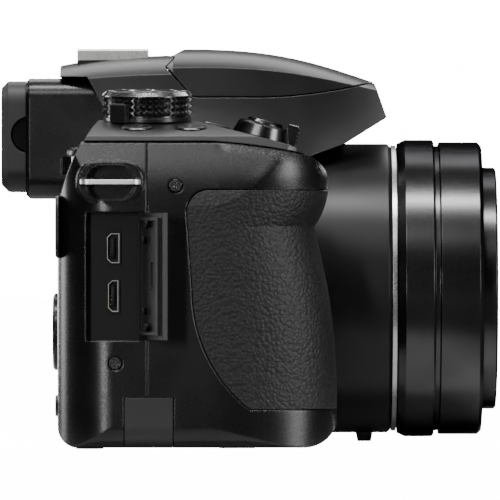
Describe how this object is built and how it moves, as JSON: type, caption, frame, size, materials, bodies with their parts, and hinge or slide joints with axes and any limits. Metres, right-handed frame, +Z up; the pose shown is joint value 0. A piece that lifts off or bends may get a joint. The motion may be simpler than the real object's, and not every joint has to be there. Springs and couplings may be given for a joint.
{
  "type": "bridge camera",
  "caption": "Compact camera with a fixed zoom lens, a hand grip, a hump with a pop-up flash, an eye-level viewfinder, a monitor and an open port door.",
  "frame": {"origin": "mouth of the tripod socket in the base plane, under the lens axis", "axes": "+Z up; -Y forward along the lens axis; -X towards the hand grip, which is on the viewer's right"},
  "size_m": [0.1446, 0.1182, 0.0945],
  "materials": {
    "body_plastic": "fine satin texture",
    "deck_plastic": "fine satin texture",
    "barrel_plastic": "smooth satin",
    "grip_rubber": "pebbled leather grain",
    "soft_rubber": "smooth matte",
    "gloss_black": "polished",
    "button_plastic": "satin gloss",
    "dial_metal": "gloss black, bright studs",
    "trim_metal": "satin",
    "chrome": "polished",
    "shoe_steel": "satin",
    "screw_steel": "black zinc",
    "bush_steel": "machined",
    "socket_steel": "plated",
    "lens_glass": "coated",
    "window_glass": "dark cover glass",
    "flash_lens": "ribbed clear plastic",
    "lamp_lens": "amber",
    "inner_plastic": "moulded",
    "battery_plastic": "smooth",
    "board_laminate": "laminate"
  },
  "bodies": {
    "camera": {"front_cover": "body_plastic", "rear_cover": "body_plastic", "top_cover": "deck_plastic", "grip_rubber": "grip_rubber", "lens_barrel": "barrel_plastic", "barrel_trim_ring": "trim_metal", "lens_base": "inner_plastic", "rear_lens": "lens_glass", "image_sensor": "window_glass", "main_board": "board_laminate", "flash_pin": "bush_steel", "shoe_base": "inner_plastic", "shoe_rails": "shoe_steel", "finder_housing": "body_plastic", "eyecup": "soft_rubber", "eyepiece_lens": "lens_glass", "finder_display": "window_glass", "thumb_rest": "soft_rubber", "monitor_glass": "window_glass", "monitor_panel": "inner_plastic", "port_panel": "inner_plastic", "hdmi_socket": "socket_steel", "usb_socket": "socket_steel", "battery": "battery_plastic", "battery_holder": "inner_plastic", "memory_card": "battery_plastic", "tripod_bush": "bush_steel", "case_screws": "screw_steel", "strap_lugs": "chrome", "rubber_feet": "soft_rubber", "focus_lamp": "lamp_lens"},
    "zoom_rear": {"zoom_tube_rear": "barrel_plastic"},
    "zoom_front": {"zoom_tube_front": "barrel_plastic", "front_ring": "gloss_black", "name_ring": "barrel_plastic", "front_lens": "lens_glass"},
    "flash_head": {"flash_cover": "deck_plastic", "flash_window": "flash_lens", "flash_tube": "window_glass"},
    "battery_lid": {"battery_door": "body_plastic"},
    "diopter_dial_body": {"diopter_dial": "button_plastic"},
    "mode_dial_body": {"mode_dial": "dial_metal"},
    "power_lever_body": {"power_lever": "button_plastic"},
    "shutter_button_body": {"shutter_button": "gloss_black"},
    "zoom_lever_body": {"zoom_lever": "gloss_black"},
    "drive_button_body": {"drive_button": "button_plastic"},
    "focus_button_body": {"focus_button": "button_plastic"},
    "movie_button_body": {"movie_button": "button_plastic"},
    "playback_button_body": {"playback_button": "button_plastic"},
    "lock_button_body": {"lock_button": "button_plastic"},
    "quick_button_body": {"quick_button": "button_plastic"},
    "delete_button_body": {"delete_button": "button_plastic"},
    "display_button_body": {"display_button": "button_plastic"},
    "rear_dial_body": {"rear_dial": "button_plastic"},
    "direction_pad_body": {"direction_pad": "button_plastic"},
    "pad_button_body": {"pad_button": "button_plastic"},
    "port_door_body": {"port_door": "soft_rubber"},
    "battery_latch_body": {"battery_latch": "button_plastic"},
    "flash_switch_body": {"flash_switch": "button_plastic"},
    "supply_flap_body": {"supply_flap": "soft_rubber"}
  },
  "joints": [
    {"name": "zoom_rear_slide", "type": "slide", "parent": "camera", "child": "zoom_rear", "axis": [0, -1, 0], "range_m": [0, 0.028]},
    {"name": "zoom_front_slide", "type": "slide", "parent": "zoom_rear", "child": "zoom_front", "axis": [0, -1, 0], "range_m": [0, 0.027]},
    {"name": "flash_hinge", "type": "hinge", "parent": "camera", "child": "flash_head", "pos_m": [0, 0.0043, 0.0916], "axis": [-1, 0, 0], "range_deg": [0, 45]},
    {"name": "mode_dial_turn", "type": "hinge", "parent": "camera", "child": "mode_dial_body", "pos_m": [-0.046, 0.0101, 0.07621], "axis": [-0.0643, 0, 0.9979], "continuous": true},
    {"name": "power_lever_turn", "type": "hinge", "parent": "camera", "child": "power_lever_body", "pos_m": [-0.046, 0.0101, 0.07621], "axis": [-0.0643, 0, 0.9979], "range_deg": [-30, 0]},
    {"name": "shutter_press", "type": "slide", "parent": "camera", "child": "shutter_button_body", "axis": [0, 0.2588, -0.9659], "range_m": [0, 0.001], "stiffness_N_per_m": 400},
    {"name": "zoom_lever_turn", "type": "hinge", "parent": "camera", "child": "zoom_lever_body", "pos_m": [-0.058, -0.0166, 0.072], "axis": [0, -0.2588, 0.9659], "range_deg": [-18, 18], "stiffness_Nm_per_rad": 0.01},
    {"name": "drive_button_press", "type": "slide", "parent": "camera", "child": "drive_button_body", "axis": [0.1786, 0, -0.9839], "range_m": [0, 0.0004], "stiffness_N_per_m": 500},
    {"name": "focus_button_press", "type": "slide", "parent": "camera", "child": "focus_button_body", "axis": [0.1786, 0, -0.9839], "range_m": [0, 0.0004], "stiffness_N_per_m": 500},
    {"name": "movie_button_press", "type": "slide", "parent": "camera", "child": "movie_button_body", "axis": [0, 0.2588, -0.9659], "range_m": [0, 0.0004], "stiffness_N_per_m": 500},
    {"name": "playback_button_press", "type": "slide", "parent": "camera", "child": "playback_button_body", "axis": [0, -1, 0], "range_m": [0, 0.0003], "stiffness_N_per_m": 500},
    {"name": "lock_button_press", "type": "slide", "parent": "camera", "child": "lock_button_body", "axis": [0, -1, 0], "range_m": [0, 0.0003], "stiffness_N_per_m": 500},
    {"name": "quick_button_press", "type": "slide", "parent": "camera", "child": "quick_button_body", "axis": [0, -1, 0], "range_m": [0, 0.0003], "stiffness_N_per_m": 500},
    {"name": "delete_button_press", "type": "slide", "parent": "camera", "child": "delete_button_body", "axis": [0, -1, 0], "range_m": [0, 0.0003], "stiffness_N_per_m": 500},
    {"name": "display_button_press", "type": "slide", "parent": "camera", "child": "display_button_body", "axis": [0, -1, 0], "range_m": [0, 0.0003], "stiffness_N_per_m": 500},
    {"name": "pad_button_press", "type": "slide", "parent": "camera", "child": "pad_button_body", "axis": [0, -1, 0], "range_m": [0, 0.0003], "stiffness_N_per_m": 500},
    {"name": "pad_tilt", "type": "hinge", "parent": "camera", "child": "direction_pad_body", "pos_m": [-0.0505, 0.0302, 0.0267], "axis": [1, 0, 0], "range_deg": [-1.5, 1.5], "stiffness_Nm_per_rad": 0.02},
    {"name": "rear_dial_turn", "type": "hinge", "parent": "camera", "child": "rear_dial_body", "pos_m": [-0.053, 0.0215, 0.0656], "axis": [0, 0, 1], "continuous": true},
    {"name": "diopter_turn", "type": "hinge", "parent": "camera", "child": "diopter_dial_body", "pos_m": [-0.0153, 0.0386, 0.0733], "axis": [1, 0, 0], "range_deg": [-120, 120]},
    {"name": "port_door_hinge", "type": "hinge", "parent": "camera", "child": "port_door_body", "pos_m": [-0.077, 0.0104, 0.03975], "axis": [0, 0, 1], "range_deg": [-115, 15]},
    {"name": "supply_flap_hinge", "type": "hinge", "parent": "camera", "child": "supply_flap_body", "pos_m": [-0.077, 0.00945, 0.0117], "axis": [0, 1, 0], "range_deg": [0, 60]},
    {"name": "battery_door_hinge", "type": "hinge", "parent": "camera", "child": "battery_lid", "pos_m": [-0.0445, -0.011, 0], "axis": [0, -1, 0], "range_deg": [0, 95]},
    {"name": "battery_latch_slide", "type": "slide", "parent": "battery_lid", "child": "battery_latch_body", "axis": [-1, 0, 0], "range_m": [0, 0.0014]},
    {"name": "flash_switch_slide", "type": "slide", "parent": "camera", "child": "flash_switch_body", "axis": [0, 1, 0], "range_m": [0, 0.001], "stiffness_N_per_m": 300}
  ],
  "couplings": [
    {"joint": "zoom_front_slide", "follows": "zoom_rear_slide", "ratio": 0.96}
  ]
}
